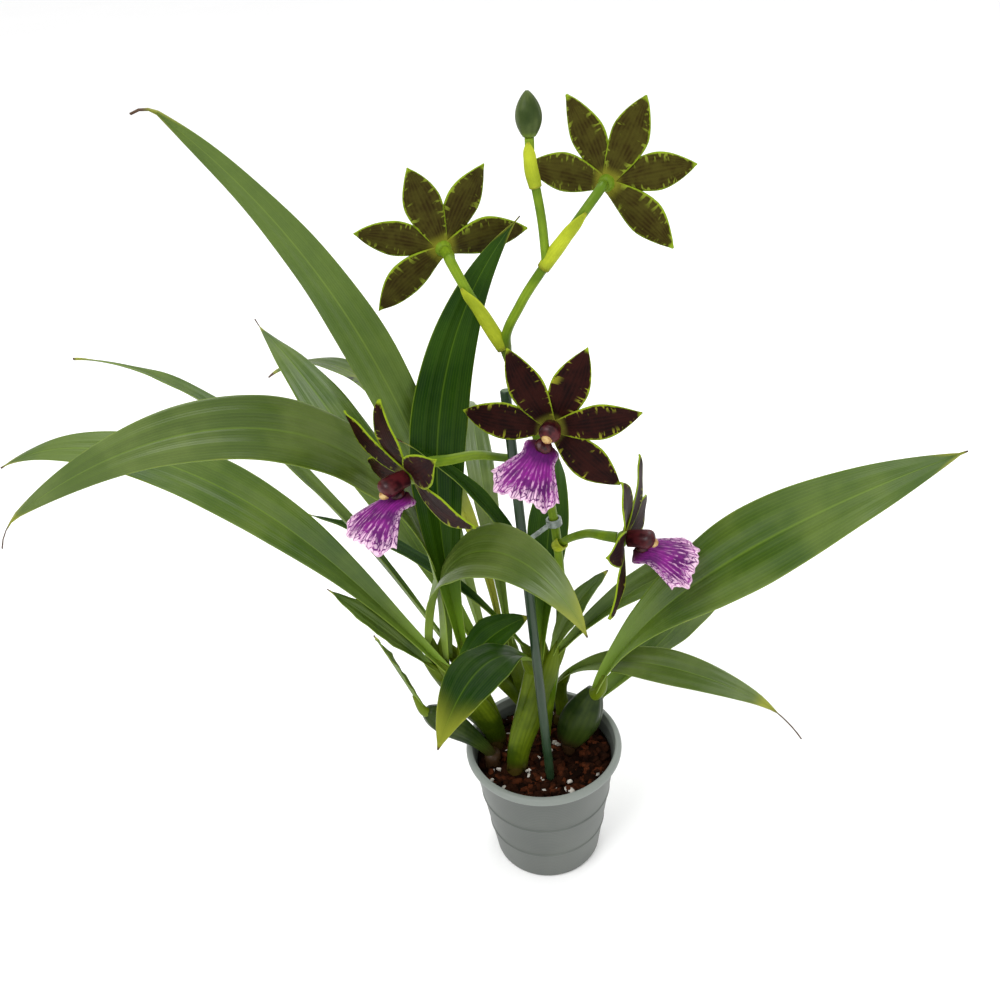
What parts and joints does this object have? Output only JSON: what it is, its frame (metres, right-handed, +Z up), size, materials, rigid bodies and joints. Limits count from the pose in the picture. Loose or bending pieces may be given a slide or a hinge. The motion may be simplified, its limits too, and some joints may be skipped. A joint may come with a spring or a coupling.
{
  "type": "potted zygopetalum orchid",
  "caption": "Zygopetalum orchid in flower in a small plain pot, with strap leaves, ridged pseudobulbs, a staked flower spike, violet veined lips and a closed bud.",
  "frame": {"origin": "centre of the pot's base, on the surface that it stands on", "axes": "+Z up along the pot's centre line, -Y towards the viewer of the picture, +X to the viewer's right"},
  "size_m": [0.4585, 0.334, 0.4576],
  "materials": {
    "pot_plastic": "matte",
    "bark_mix": "rough",
    "stake_green": "satin",
    "clip_plastic": "gloss",
    "leaf_green": "satin",
    "bulb_green": "satin",
    "spike_green": "satin",
    "bud_green": "satin",
    "tepal_maroon": "satin",
    "lip_violet": "velvety",
    "column_maroon": "glossy"
  },
  "bodies": {
    "root": {"pot": "pot_plastic", "growing_medium": "bark_mix", "stake": "stake_green", "plant_clip": "clip_plastic", "growth_left": "leaf_green", "growth_back": "leaf_green", "growth_front": "leaf_green", "growth_right": "leaf_green", "pseudobulb_left": "bulb_green", "pseudobulb_right": "bulb_green", "flower_spike": "spike_green", "bud": "bud_green", "bloom_upper_left_tepals": "tepal_maroon", "bloom_upper_left_lip": "lip_violet", "bloom_upper_left_column": "column_maroon", "bloom_top_tepals": "tepal_maroon", "bloom_top_lip": "lip_violet", "bloom_top_column": "column_maroon", "bloom_left_tepals": "tepal_maroon", "bloom_left_lip": "lip_violet", "bloom_left_column": "column_maroon", "bloom_centre_tepals": "tepal_maroon", "bloom_centre_lip": "lip_violet", "bloom_centre_column": "column_maroon", "bloom_right_tepals": "tepal_maroon", "bloom_right_lip": "lip_violet", "bloom_right_column": "column_maroon"}
  },
  "joints": []
}
